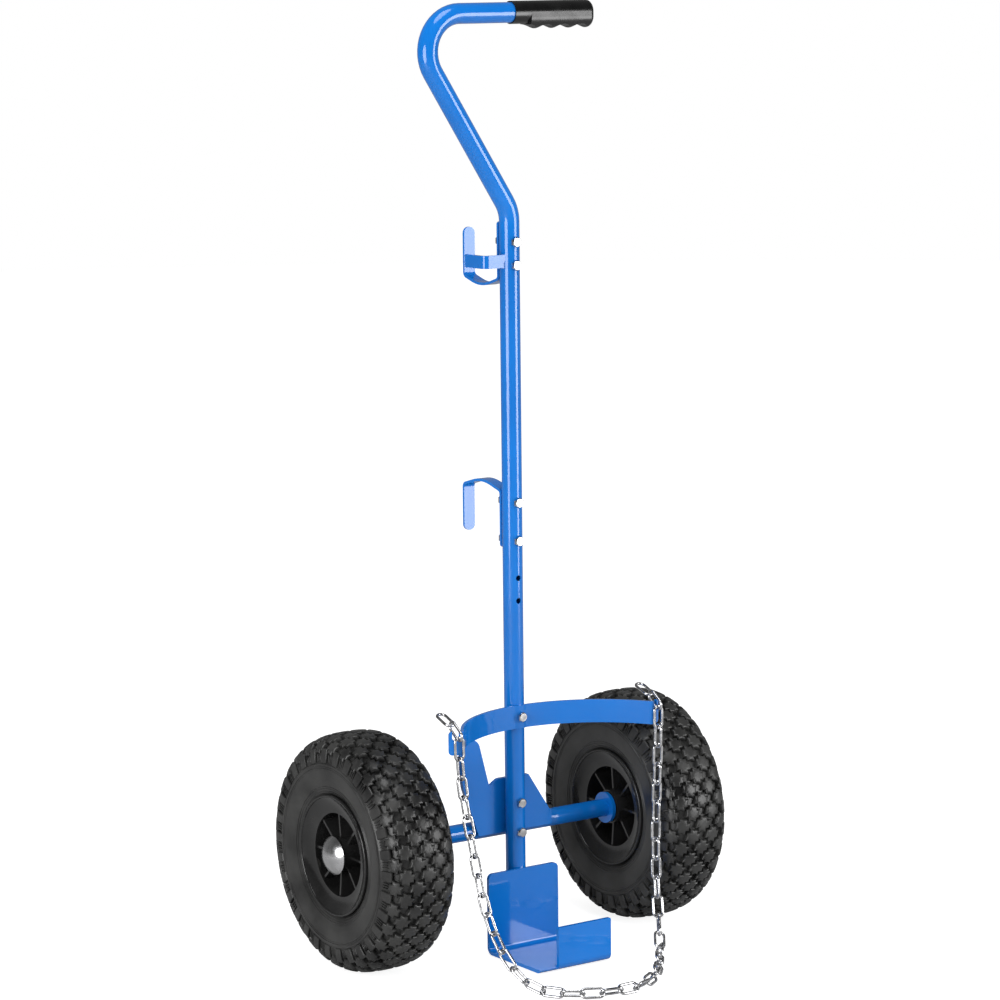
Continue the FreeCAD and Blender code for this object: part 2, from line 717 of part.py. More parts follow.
def wheel_outer_x():
    """Where the outer end of the hub is, measured from the pole."""
    return TRACK / 2 + RIM_HALF_W


def left_half(points):
    """The same (across, radius) points on the left half, in the opposite order."""
    return [(-u, r) for u, r in reversed(points)]


def tread_line(depth):
    """The tread's straight stretches from shoulder to shoulder at a depth, as (across, radius) points."""
    half = [
        (0.37 * TYRE_HALF_W, WHEEL_R - depth),
        (0.73 * TYRE_HALF_W - 0.3 * depth, WHEEL_R - TYRE_SLOPE - 0.92 * depth),
        (0.91 * TYRE_HALF_W - 0.8 * depth, WHEEL_R - TYRE_SHOULDER - 0.6 * depth),
        (TYRE_HALF_W, SEAT_R + 0.6 * (WHEEL_R - SEAT_R)),
    ]
    return left_half(half) + half


def tyre_sidewall():
    """The right sidewall's outside from the widest place to the bead, as (across, radius) points."""
    height = WHEEL_R - SEAT_R
    return [
        (TYRE_HALF_W, SEAT_R + 0.6 * height), (0.93 * TYRE_HALF_W, SEAT_R + 0.35 * height),
        (BEAD_U + BEAD_LEAN, FLANGE_R + FLANGE_SEAT),
    ]


def tyre_inside():
    """Right half of the tyre's inside, as (across, radius) points from bead to crown."""
    height = WHEEL_R - SEAT_R
    return [
        (BEAD_U - BEAD_RISE, SEAT_R + BEAD_RISE), (TYRE_HALF_W - 1.3 * TYRE_WALL, SEAT_R + 0.35 * height),
        (TYRE_HALF_W - TYRE_WALL, SEAT_R + 0.6 * height), (0.75 * TYRE_HALF_W, SEAT_R + 0.77 * height),
        (0.4 * TYRE_HALF_W, WHEEL_R - TREAD_T), (0, WHEEL_R - TREAD_T),
    ]


def smooth_edge(points):
    """A smooth curve through (across, radius) points."""
    curve = Part.BSplineCurve()
    curve.interpolate([V(u, r, 0) for u, r in points])
    return curve.toShape()


def tyre_face(depth):
    """Section of the tyre, hollow and open at the beads, with its tread at a depth."""
    wall, inside = tyre_sidewall(), tyre_inside()
    bead = [wall[-1], (BEAD_U, FLANGE_R - BEAD_RISE), (BEAD_U, SEAT_R), (BEAD_U - BEAD_TOE, SEAT_R),
            inside[0]]
    edges = [smooth_edge(wall), smooth_edge(left_half(wall)), smooth_edge(inside + left_half(inside)[1:])]
    for run in (tread_line(depth), bead, left_half(bead)):
        edges.extend(Part.makePolygon([V(u, r, 0) for u, r in run]).Edges)
    return Part.Face(Part.Wire(Part.__sortEdges__(edges)))


def across_tread(run):
    """Place on the tread's line at a distance from the middle of the tyre."""
    points = [V(u, r, 0) for u, r in tread_line(0)]
    run += sum((b - a).Length for a, b in zip(points, points[1:])) / 2
    for a, b in zip(points, points[1:]):
        if run <= (b - a).Length:
            break
        run -= (b - a).Length
    return a + (b - a).normalize() * run


def on_tread(column, row):
    """Place and outward direction on the tread, counted in half pitches along and across."""
    half_pitch = pi * WHEEL_R / TREAD_PITCHES
    place = across_tread(row * half_pitch)
    along = across_tread((row + 0.4) * half_pitch) - across_tread((row - 0.4) * half_pitch)
    turn = FreeCAD.Rotation(X_AXIS, column * 180 / TREAD_PITCHES)
    return turn.multVec(place), turn.multVec(V(-along.y, along.x, 0).normalize())


def tread_block(layer, column, row):
    """One diamond block of the tread; on the shoulder its outer end is a lug."""
    reach = 1 - GROOVE_W * sqrt(0.5) / (pi * WHEEL_R / TREAD_PITCHES)
    corners = [(-reach, 0), (0, reach), (reach, 0), (0, -reach)]
    if abs(row) == TREAD_ROWS:
        side = row / TREAD_ROWS
        lug = [(-reach / 2, side * reach / 1.5), (reach / 2, side * reach / 1.5)]
        corners = [(-reach, 0)] + lug + [(reach, 0), (0, -side * reach)]
    middle, out = on_tread(column, row)
    outline = []
    for along, across in corners:
        point = on_tread(column + along, row + across)[0]
        outline.append(point - out * ((point - middle).dot(out) + TREAD_T))
    column_face = Part.Face(Part.makePolygon(outline + outline[:1]))
    return column_face.extrude(out * (2 * TREAD_T)).common(layer)


def tyre_pitch():
    """One pitch of the tyre: carcass and the blocks on it, between two flat radial cuts."""
    angle = 360 / TREAD_PITCHES
    wide = tyre_face(GROOVE_DEPTH).revolve(ORIGIN, X_AXIS, 3 * angle)
    wide.rotate(ORIGIN, X_AXIS, -angle)
    layers = tyre_face(0).cut(tyre_face(GROOVE_DEPTH + BLOCK_ROOT)).Faces
    layer = max(layers, key=lambda face: face.Area).revolve(ORIGIN, X_AXIS, 5 * angle)
    layer.rotate(ORIGIN, X_AXIS, -2 * angle)
    blocks = []
    for row in range(-TREAD_ROWS, TREAD_ROWS + 1):
        for column in (-0.5, 0.5, 1.5, 2.5):
            if (row + column - 0.5) % 2 == 0:
                blocks.append(tread_block(layer, column, row))
    wedge_end = Part.Face(Part.makePolygon([
        V(-2 * TYRE_HALF_W, 0, 0), V(2 * TYRE_HALF_W, 0, 0), V(2 * TYRE_HALF_W, 2 * WHEEL_R, 0),
        V(-2 * TYRE_HALF_W, 2 * WHEEL_R, 0), V(-2 * TYRE_HALF_W, 0, 0),
    ]))
    return wide.fuse(blocks).common(wedge_end.revolve(ORIGIN, X_AXIS, angle))


def tyre():
    """Hollow tyre about the X axis, with rows of diamond blocks standing on its tread."""
    angle = 360 / TREAD_PITCHES
    cuts = (Z_AXIS, FreeCAD.Rotation(X_AXIS, angle).multVec(Z_AXIS))
    skin = []
    for face in tyre_pitch().Faces:
        points = [vertex.Point for vertex in face.Vertexes] + [face.CenterOfMass]
        if not any(all(abs(point.dot(cut)) < 0.001 for point in points) for cut in cuts):
            skin.append(face)
    ring = []
    for k in range(TREAD_PITCHES):
        for face in skin:
            turned = face.copy()
            turned.rotate(ORIGIN, X_AXIS, (k - 0.25) * angle)
            ring.append(turned)
    ring = Part.makeCompound(ring)
    ring.sewShape()
    return Part.Solid(ring.Shells[0])


def air_tube_face(scale):
    """Section of the air tube, which fills the tyre down to the rim, shrunk about its middle."""
    middle_r = (SEAT_R + WHEEL_R) / 2
    inside = tyre_inside()
    over = inside + left_half(inside[:-1])
    foot = [over[-1], (BEAD_TOE - BEAD_U, SEAT_R), (BEAD_U - BEAD_TOE, SEAT_R), over[0]]
    over = [(u * scale, middle_r + (r - middle_r) * scale) for u, r in over]
    foot = [(u * scale, middle_r + (r - middle_r) * scale) for u, r in foot]
    edges = [smooth_edge(over)] + Part.makePolygon([V(u, r, 0) for u, r in foot]).Edges
    return Part.Face(Part.Wire(Part.__sortEdges__(edges)))


def air_tube():
    """Air tube inside the tyre, with an even wall round its air space."""
    air_scale = 1 - AIR_TUBE_WALL / TYRE_HALF_W
    section = air_tube_face(1).cut(air_tube_face(air_scale))
    return section.revolve(ORIGIN, X_AXIS, 360).Solids[0]


def rim_half():
    """Outer half of the rim: hub, web, barrel and flange, with radial ribs in the recess."""
    end = RIM_HALF_W - BUSH_FLANGE_T
    flat = [
        (FLANGE_HALF_W - LIP_R, FLANGE_R), (BEAD_U + BEAD_LEAN, FLANGE_R), (BEAD_U, FLANGE_R - BEAD_RISE),
        (BEAD_U, SEAT_R), (0, SEAT_R), (0, BUSH_R), (end, BUSH_R), (end, HUB_R), (WEB_T, HUB_R),
        (WEB_T, BARREL_R), (DISH_U, BARREL_R),
    ]
    edges = Part.makePolygon([V(u, r, 0) for u, r in flat]).Edges
    lip_foot = V(FLANGE_HALF_W - LIP_R, FLANGE_R - 2 * LIP_R, 0)
    dish = Part.Arc(V(DISH_U, BARREL_R, 0), V(DISH_MID_U, DISH_MID_R, 0), lip_foot)
    lip_top = V(FLANGE_HALF_W - LIP_R, FLANGE_R, 0)
    lip = Part.Arc(lip_foot, V(FLANGE_HALF_W, FLANGE_R - LIP_R, 0), lip_top)
    outline = Part.Wire(Part.__sortEdges__(edges + [dish.toShape(), lip.toShape()]))
    half = Part.Face(outline).revolve(ORIGIN, X_AXIS, 360)
    inner_r = HUB_R - 1
    ribs = []
    for k in range(RIB_COUNT):
        corners = [(WEB_T - 1, inner_r), (end - RIB_BELOW_HUB, inner_r),
                   (DISH_U - RIB_BELOW_DISH, BARREL_R + 1), (WEB_T - 1, BARREL_R + 1)]
        face = Part.Face(Part.makePolygon([V(u, r, -RIB_T / 2) for u, r in corners + corners[:1]]))
        rib = face.extrude(Z_AXIS * RIB_T)
        rib.rotate(ORIGIN, X_AXIS, 360 / RIB_COUNT * k)
        ribs.append(rib)
    half = half.fuse(ribs)
    bolt_r = BOLT_HOLE_D / 2
    for place in rim_bolt_places():
        half = half.cut(cylinder(bolt_r, place - X_AXIS, X_AXIS, WEB_T + 2))
    valve_r = VALVE_D / 2
    valve_start = V(VALVE_U, 0, 0) + valve_direction() * (BARREL_R - 3)
    half = half.cut(cylinder(valve_r, valve_start, valve_direction(), 2 * BARREL_T))
    return half.removeSplitter()


def rim_bolt_places():
    """Points on the wheel's middle plane where the rim bolts pass, midway between ribs."""
    places = []
    for k in range(RIM_BOLT_COUNT):
        angle = 2 * pi * (k + 0.25) / RIM_BOLT_COUNT
        places.append(V(0, RIM_BOLT_PCD_R * cos(angle), RIM_BOLT_PCD_R * sin(angle)))
    return places


def valve_direction():
    """Radial direction of the valve, midway between two ribs and clear of the rim bolts."""
    angle = -2 * pi * 0.25 / RIM_BOLT_COUNT
    return V(0, cos(angle), sin(angle))


def valve():
    """Bent valve: a stem through the rim's barrel that turns outward beside the hub."""
    out = valve_direction()
    start = V(VALVE_U, 0, 0) + out * (SEAT_R - VALVE_GAP)
    corner = V(VALVE_U, 0, 0) + out * (BARREL_R - VALVE_INSET)
    tip = corner + X_AXIS * VALVE_REACH
    path = rounded_wire([start, corner, tip], [0, VALVE_BEND_R, 0])
    return round_bar(path, VALVE_D, start, out)


def hub_bush():
    """Flanged plain bush in the outer end of the hub."""
    end = RIM_HALF_W
    bore_r = AXLE_R + BUSH_CLEARANCE
    body = cylinder(BUSH_R, V(end - BUSH_LENGTH, 0, 0), X_AXIS, BUSH_LENGTH)
    flange = cylinder(BUSH_FLANGE_R, V(end - BUSH_FLANGE_T, 0, 0), X_AXIS, BUSH_FLANGE_T)
    bore = cylinder(bore_r, V(end - BUSH_LENGTH, 0, 0), X_AXIS, BUSH_LENGTH)
    return body.fuse(flange).cut(bore).removeSplitter()


def rim_fasteners():
    """Bolts and nuts that clamp the two halves of a rim."""
    bolts = []
    nuts = []
    inward = X_AXIS * -1
    for place in rim_bolt_places():
        seat = place + X_AXIS * WEB_T
        bolts.append(hex_bolt(BOLT_D, BOLT_AF, seat, inward, 2 * WEB_T, BOLT_HEAD, NUT_H + BOLT_PROUD))
        nuts.append(hex_nut(BOLT_D, BOLT_AF, place - X_AXIS * WEB_T, inward, NUT_H))
    return group(bolts), group(nuts)


def washer(x):
    """Flat washer on the axle from a place outward."""
    start = V(x, 0, 0)
    disc = cylinder(WASHER_D / 2, start, X_AXIS, WASHER_T)
    return disc.cut(cylinder(AXLE_R, start, X_AXIS, WASHER_T))


def hub_cap():
    """Domed push-on cap whose inner collar grips the axle's end."""
    foot = wheel_outer_x() - TRACK / 2 + HUB_PLAY + WASHER_T
    half = CAP_D / 2
    dome_r = (half * half + CAP_DOME * CAP_DOME) / (2 * CAP_DOME)
    centre = V(foot + CAP_DOME - dome_r, 0, 0)
    keep = Part.makeBox(2 * half, 2 * CAP_D, 2 * CAP_D, V(foot, -CAP_D, -CAP_D))
    shell = Part.makeSphere(dome_r, centre).cut(Part.makeSphere(dome_r - CAP_WALL, centre)).common(keep)
    collar = cylinder(AXLE_R + CAP_COLLAR_T, V(foot, 0, 0), X_AXIS, CAP_DOME)
    collar = collar.common(Part.makeSphere(dome_r - CAP_WALL / 2, centre))
    collar = collar.cut(cylinder(AXLE_R, V(foot, 0, 0), X_AXIS, AXLE_IN_CAP))
    return shell.fuse(collar).removeSplitter()


def wheel_pieces():
    """All pieces of the right wheel by name, about the wheel's own centre."""
    outer = rim_half()
    bush = hub_bush()
    bolts, nuts = rim_fasteners()
    inner_washer_x = AXLE_TUBE_HALF - TRACK / 2
    return {
        "tyre": tyre(), "inner_tube": air_tube(), "valve": valve(),
        "rim_outer": outer, "rim_inner": mirrored(outer),
        "rim_bolts": bolts, "rim_nuts": nuts,
        "hub_bush_outer": bush, "hub_bush_inner": mirrored(bush),
        "hub_washer_inner": washer(inner_washer_x),
        "hub_washer_outer": washer(RIM_HALF_W + HUB_PLAY),
        "hub_cap": hub_cap(),
    }


def foot_plate():
    """Bent sheet foot: upright back plate, level floor, and a lip on the right of the front."""
    half_t = FOOT_T / 2
    back_y = FOOT_BACK_Y - half_t
    front_y = FOOT_FRONT_Y + half_t
    top = V(-FOOT_W / 2, back_y, FOOT_BACK_H)
    points = [top, V(-FOOT_W / 2, back_y, half_t), V(-FOOT_W / 2, front_y, half_t),
              V(-FOOT_W / 2, front_y, LIP_H)]
    path = rounded_wire(points, [0, FOOT_BEND_R + half_t, FOOT_BEND_R + half_t, 0])
    t = Y_AXIS * half_t
    w = X_AXIS * FOOT_W
    sheet = swept(path, Part.makePolygon([top - t, top + t, top + t + w, top - t + w, top - t]))
    notch_w = FOOT_W - LIP_W
    notch = Part.makeBox(notch_w, FOOT_DEPTH, LIP_H,
                         V(-FOOT_W / 2, FOOT_FRONT_Y - FOOT_DEPTH + FOOT_BEND_R + FOOT_T, FOOT_T))
    sheet = sheet.cut(notch)
    tops = edges_where(sheet, lambda e, m: is_along(e, Y_AXIS) and abs(m.z - FOOT_BACK_H) < 0.1)
    sheet = sheet.makeFillet(FOOT_CORNER_R, tops)
    lips = edges_where(sheet, lambda e, m: is_along(e, Y_AXIS) and abs(m.z - LIP_H) < 0.1)
    return sheet.makeFillet(LIP_CORNER_R, lips)


def save_frame():
    """Write the pole, hooks, band, foot and axle pieces with their fasteners."""
    save("handle_tube", handle_tube())
    save("handle_grip", handle_grip())
    save("lower_pole", lower_pole())
    save("splice_sleeve", splice_sleeve())
    save("upper_hook", hook(UPPER_HOOK_Z, 1, UPPER_HOOK_REACH, UPPER_HOOK_BOLTS))
    save("lower_hook", hook(LOWER_HOOK_Z, -1, LOWER_HOOK_REACH, SPLICE_BOLTS))
    save("lance_clip", lance_clip())
    arm_left, saddle, arm_right = cradle_pieces()
    save("cradle_arm_left", arm_left)
    save("cradle_saddle", saddle)
    save("cradle_arm_right", arm_right)
    save("foot_plate", foot_plate())
    save("axle_bracket", axle_bracket())
    tube, collar, rod = axle_pieces()
    save("axle_tube", tube)
    save("axle_collar_right", collar)
    save("axle_collar_left", mirrored(collar))
    save("axle_rod", rod)


def save_bolts():
    """Write the bolts and nuts that pass through the pole."""
    front = -TUBE_R
    strip_back = TUBE_R + STRIP_T
    for name, heights in (("upper_hook", UPPER_HOOK_BOLTS), ("splice", SPLICE_BOLTS)):
        pairs = [pole_bolt(z, front, strip_back) for z in heights]
        save(name + "_bolts", group([bolt for bolt, nut in pairs]))
        save(name + "_nuts", group([nut for bolt, nut in pairs]))
    bolt, nut = pole_bolt(BAND_BOLT, front - BAND_T, TUBE_R)
    save("band_bolt", bolt)
    save("band_nut", nut)
    upper_bolt, upper_nut = pole_bolt(BRACKET_BOLT_UPPER, front, BRACKET_BACK_Y)
    lower_bolt, lower_nut = pole_bolt(AXLE_Z, front, AXLE_Y + AXLE_TUBE_D / 2)
    save("bracket_bolt_upper", upper_bolt)
    save("bracket_bolt_lower", lower_bolt)
    save("bracket_nuts", group([upper_nut, lower_nut]))


def save_chain():
    """Write the chain's runs and its end links, and print the line that it swings about."""
    links = hanging_links()
    lying = [i for i, link in enumerate(links) if link.BoundBox.ZMin < WIRE_D]
    save("chain_left_drop", group(links[:lying[0]]))
    save("chain_floor_run", group(links[lying[0]:lying[-1] + 1]))
    save("chain_right_drop", group(links[lying[-1] + 1:]))
    slot_links, stop_links = end_links()
    save("chain_slot_links", group(slot_links))
    save("chain_stop_links", group(stop_links))
    print("chain pivot", chain_pivot(1) + V(0, POLE_Y, 0))


def save_wheels():
    """Write both wheels, the left one as the mirror of the right one."""
    for name, piece in wheel_pieces().items():
        piece.translate(V(TRACK / 2, AXLE_Y, AXLE_Z))
        save(name + "_right", piece)
        save(name + "_left", mirrored(piece))


os.makedirs("parts", exist_ok=True)
save_frame()
save_bolts()
save_chain()
save_wheels()
print("pole axis at y", POLE_Y, "axle at y", AXLE_Y + POLE_Y)
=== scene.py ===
# %% [markdown]
# # Dressing a gas cylinder trolley
# The steel frame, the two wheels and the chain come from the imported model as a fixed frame.
# This lesson gives every piece its finish, and adds the moulded tyres that only a mesh can show.
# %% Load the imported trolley
import json
import math

import bpy
from mathutils import Matrix, Vector


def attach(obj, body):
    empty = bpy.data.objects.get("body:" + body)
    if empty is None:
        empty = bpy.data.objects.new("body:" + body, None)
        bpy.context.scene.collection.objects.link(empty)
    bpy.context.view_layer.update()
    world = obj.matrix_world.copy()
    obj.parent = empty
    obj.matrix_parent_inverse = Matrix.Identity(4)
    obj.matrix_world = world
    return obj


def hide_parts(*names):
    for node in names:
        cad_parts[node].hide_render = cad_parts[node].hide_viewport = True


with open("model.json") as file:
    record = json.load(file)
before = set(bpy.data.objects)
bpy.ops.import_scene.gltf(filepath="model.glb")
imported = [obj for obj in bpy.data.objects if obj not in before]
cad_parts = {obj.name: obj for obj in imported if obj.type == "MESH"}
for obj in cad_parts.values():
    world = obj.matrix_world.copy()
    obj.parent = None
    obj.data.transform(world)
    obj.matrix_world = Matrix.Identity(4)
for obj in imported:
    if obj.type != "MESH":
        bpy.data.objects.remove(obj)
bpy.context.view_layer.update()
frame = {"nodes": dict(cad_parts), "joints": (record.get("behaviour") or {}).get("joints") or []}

pieces = frame["nodes"]

# %% [markdown]
# ## Where the camera stands
# The trolley is seen from its front left, a little from above, through a long lens.
# A camera is placed by its three directions (right, up and back) instead of by turning it step by
# step, because the small roll of the picture is then one more turn of the same three arrows.
# %% Camera
TURN, LIFT, ROLL = math.radians(-34.9265), math.radians(8.6407), math.radians(-0.5845)
CAMERA_PLACE = Vector((-2.17412, -3.05146, 1.07706))
SENSOR_MM, LENS_MM = 36, 127.398
SHIFT_X, SHIFT_Y = -0.0120, -0.0021
back = Vector((math.sin(TURN) * math.cos(LIFT), -math.cos(TURN) * math.cos(LIFT), math.sin(LIFT)))
right = Vector((math.cos(TURN), math.sin(TURN), 0))
up = back.cross(right)
rolled_right = right * math.cos(ROLL) + up * math.sin(ROLL)
rolled_up = up * math.cos(ROLL) - right * math.sin(ROLL)
camera = bpy.data.objects.new("camera", bpy.data.cameras.new("camera"))
bpy.context.scene.collection.objects.link(camera)
facing = Matrix((rolled_right, rolled_up, back)).transposed().to_4x4()
camera.matrix_world = Matrix.Translation(CAMERA_PLACE) @ facing
camera.data.sensor_width = SENSOR_MM
camera.data.lens = LENS_MM
camera.data.shift_x = SHIFT_X
camera.data.shift_y = SHIFT_Y
bpy.context.scene.camera = camera
bpy.context.scene.view_settings.view_transform = "Standard"
print("camera stands at", tuple(round(v, 3) for v in camera.location))

# %% [markdown]
# ## Studio light
# Two long bright stripes run down the pole. A round tube mirrors a lamp where its surface is turned
# halfway towards it, so the stripes tell where the lamps stand: one soft box far to the left and one
# to the front right, both standing on the floor. A weaker one hangs above. The lamps are round, so
# that the shiny caps mirror a soft spot and not a square.
# %% Soft boxes
MIDDLE = Vector((0, 0.03, 0.5))


def soft_box(name, place, wide, tall, watts):
    """Area lamp at a place, aimed at the middle of the trolley."""
    lamp = bpy.data.lights.new(name, "AREA")
    lamp.shape = "ELLIPSE"
    lamp.size = wide
    lamp.size_y = tall
    lamp.energy = watts
    box = bpy.data.objects.new(name, lamp)
    bpy.context.scene.collection.objects.link(box)
    box.location = place
    box.rotation_euler = (Vector(place) - MIDDLE).to_track_quat("Z", "Y").to_euler()
    box.visible_camera = False


soft_box("left_soft_box", (-2.3, -0.75, 0.74), wide=1.5, tall=1.5, watts=42)
soft_box("right_soft_box", (1.35, -1.65, 0.58), wide=1.1, tall=1.2, watts=27)
soft_box("top_soft_box", (-0.3, -0.7, 2.9), wide=1.5, tall=1.5, watts=28)

# %% [markdown]
# ## White studio
# The background is plain white where the camera looks. Shiny metal mirrors it too: a pale backdrop
# behind the trolley that fades to a dim room on the side where the camera stands, because a studio is
# dark there. Elsewhere the world only fills shadows. The floor is a pale sheet that keeps the shadow;
# it glows only towards the camera, so its far edge melts into the white without lighting anything.
# %% Three backgrounds
FILL, ROOM_DIM, ROOM_PALE = 0.5, 0.06, 0.24
ROOM_FADE = (-0.3, 0.9)
world = bpy.data.worlds.new("white_studio")
bpy.context.scene.world = world
world.use_nodes = True
world_nodes, world_links = world.node_tree.nodes, world.node_tree.links
fill = world_nodes["Background"]
mirrored = world_nodes.new("ShaderNodeBackground")
white = world_nodes.new("ShaderNodeBackground")
for pale in (fill, mirrored, white):
    pale.inputs["Color"].default_value = (1, 1, 1, 1)
fill.inputs["Strength"].default_value = FILL
white.inputs["Strength"].default_value = 1
heading = world_nodes.new("ShaderNodeTexCoord")
behind = world_nodes.new("ShaderNodeVectorMath")
behind.operation = "DOT_PRODUCT"
behind.inputs[1].default_value = -back
room = world_nodes.new("ShaderNodeMapRange")
room.inputs["From Min"].default_value = ROOM_FADE[0]
room.inputs["From Max"].default_value = ROOM_FADE[1]
room.inputs["To Min"].default_value = ROOM_DIM
room.inputs["To Max"].default_value = ROOM_PALE
world_links.new(heading.outputs["Generated"], behind.inputs[0])
world_links.new(behind.outputs["Value"], room.inputs["Value"])
world_links.new(room.outputs["Result"], mirrored.inputs["Strength"])
print("world fill:", FILL, "mirrored room from", ROOM_DIM, "to", ROOM_PALE)

# %% Which ray meets which background
looks = world_nodes.new("ShaderNodeLightPath")
seen = world_nodes.new("ShaderNodeMath")
seen.operation = "MAXIMUM"
glossy_choice = world_nodes.new("ShaderNodeMixShader")
choose = world_nodes.new("ShaderNodeMixShader")
world_links.new(looks.outputs["Is Glossy Ray"], glossy_choice.inputs[0])
world_links.new(fill.outputs[0], glossy_choice.inputs[1])
world_links.new(mirrored.outputs[0], glossy_choice.inputs[2])
world_links.new(looks.outputs["Is Camera Ray"], seen.inputs[0])
world_links.new(looks.outputs["Is Transmission Ray"], seen.inputs[1])
world_links.new(seen.outputs[0], choose.inputs[0])
world_links.new(glossy_choice.outputs[0], choose.inputs[1])
world_links.new(white.outputs[0], choose.inputs[2])
world_links.new(choose.outputs[0], world_nodes["World Output"].inputs["Surface"])
print("nodes in the world:", len(world_nodes))

# %% Floor
FLOOR_R, FLOOR_Z = 9, -0.0015
FLOOR_GREY, FLOOR_GLOW = 0.5, 0.85
bpy.ops.object.select_all(action="DESELECT")
bpy.ops.mesh.primitive_circle_add(vertices=96, radius=FLOOR_R, fill_type="NGON", location=(0, 0, FLOOR_Z))
floor = bpy.context.object
floor.name = "floor"
floor_paint = bpy.data.materials.new("pale_floor")
floor_paint.use_nodes = True
floor_nodes, floor_links = floor_paint.node_tree.nodes, floor_paint.node_tree.links
matt = floor_nodes["Principled BSDF"]
matt.inputs["Base Color"].default_value = (FLOOR_GREY, FLOOR_GREY, FLOOR_GREY, 1)
matt.inputs["Roughness"].default_value = 0.9
matt.inputs["Specular IOR Level"].default_value = 0
glow = floor_nodes.new("ShaderNodeEmission")
glow.inputs["Color"].default_value = (1, 1, 1, 1)
floor_looks = floor_nodes.new("ShaderNodeLightPath")
lifted = floor_nodes.new("ShaderNodeMath")
lifted.operation = "MULTIPLY"
lifted.inputs[1].default_value = FLOOR_GLOW
both = floor_nodes.new("ShaderNodeAddShader")
floor_links.new(floor_looks.outputs["Is Camera Ray"], lifted.inputs[0])
floor_links.new(lifted.outputs[0], glow.inputs["Strength"])
floor_links.new(matt.outputs[0], both.inputs[0])
floor_links.new(glow.outputs[0], both.inputs[1])
floor_links.new(both.outputs[0], floor_nodes["Material Output"].inputs["Surface"])
floor.data.materials.append(floor_paint)
print("floor radius:", FLOOR_R, "m")

# %% [markdown]
# ## One group for uneven surfaces
# No real surface is one flat colour. Paint is a little thicker in places, rubber is a little greyer,
# and all of them have a fine grain. One node group gives broad patches and fine grain as numbers,
# and each finish places it with its own sizes.
# %% Node group: patches and grain
uneven = bpy.data.node_groups.new("patches_and_grain", "ShaderNodeTree")
uneven.interface.new_socket("Patch Scale", in_out="INPUT", socket_type="NodeSocketFloat")
uneven.interface.new_socket("Grain Scale", in_out="INPUT", socket_type="NodeSocketFloat")
uneven.interface.new_socket("Patch", in_out="OUTPUT", socket_type="NodeSocketFloat")
uneven.interface.new_socket("Grain", in_out="OUTPUT", socket_type="NodeSocketFloat")
sizes = uneven.nodes.new("NodeGroupInput")
results = uneven.nodes.new("NodeGroupOutput")
place = uneven.nodes.new("ShaderNodeTexCoord")
NOISES = (("Patch Scale", "Patch", 3, 0.35, 0.65), ("Grain Scale", "Grain", 2, 0.3, 0.7))
for size, result, detail, low, high in NOISES:
    noise = uneven.nodes.new("ShaderNodeTexNoise")
    noise.inputs["Detail"].default_value = detail
    spread = uneven.nodes.new("ShaderNodeMapRange")
    spread.inputs["From Min"].default_value = low
    spread.inputs["From Max"].default_value = high
    uneven.links.new(place.outputs["Object"], noise.inputs["Vector"])
    uneven.links.new(sizes.outputs[size], noise.inputs["Scale"])
    uneven.links.new(noise.outputs["Fac"], spread.inputs["Value"])
    uneven.links.new(spread.outputs["Result"], results.inputs[result])
print("group sockets:", [s.name for s in uneven.interface.items_tree])

# %% [markdown]
# ## Finishes
# A finish is two near colours that the patches blend, a range of gloss, and a grain that lifts the
# surface by a few hundredths of a millimetre or less. Writing that once keeps the finishes alike in
# build and lets each differ in its numbers. Under a clear coat the colour itself shines less, because
# the coat already mirrors the room.
# %% A finish from its numbers
COAT_ROUGHNESS = 0.06
BARE_SPECULAR, COAT_HIDES = 0.5, 0.4


def finish(name, dark, light, gloss, patch, grain, lift, metal=0.0, coat=0.0):
    """Material with patches between two colours, a range of roughness, and a fine grain in relief."""
    made = bpy.data.materials.new(name)
    made.use_nodes = True
    nodes, links = made.node_tree.nodes, made.node_tree.links
    shader = nodes["Principled BSDF"]
    shader.inputs["Metallic"].default_value = metal
    shader.inputs["Coat Weight"].default_value = coat
    shader.inputs["Specular IOR Level"].default_value = BARE_SPECULAR - COAT_HIDES * coat
    shader.inputs["Coat Roughness"].default_value = COAT_ROUGHNESS
    surface = nodes.new("ShaderNodeGroup")
    surface.node_tree = uneven
    surface.inputs["Patch Scale"].default_value = patch
    surface.inputs["Grain Scale"].default_value = grain
    colours = nodes.new("ShaderNodeMix")
    colours.data_type = "RGBA"
    colours.inputs["A"].default_value = (*dark, 1)
    colours.inputs["B"].default_value = (*light, 1)
    rough = nodes.new("ShaderNodeMapRange")
    rough.inputs["To Min"].default_value = gloss[0]
    rough.inputs["To Max"].default_value = gloss[1]
    relief = nodes.new("ShaderNodeBump")
    relief.inputs["Strength"].default_value = 1
    relief.inputs["Distance"].default_value = lift
    links.new(surface.outputs["Patch"], colours.inputs["Factor"])
    links.new(surface.outputs["Patch"], rough.inputs["Value"])
    links.new(surface.outputs["Grain"], relief.inputs["Height"])
    links.new(colours.outputs["Result"], shader.inputs["Base Color"])
    links.new(rough.outputs["Result"], shader.inputs["Roughness"])
    links.new(relief.outputs["Normal"], shader.inputs["Normal"])
    return made


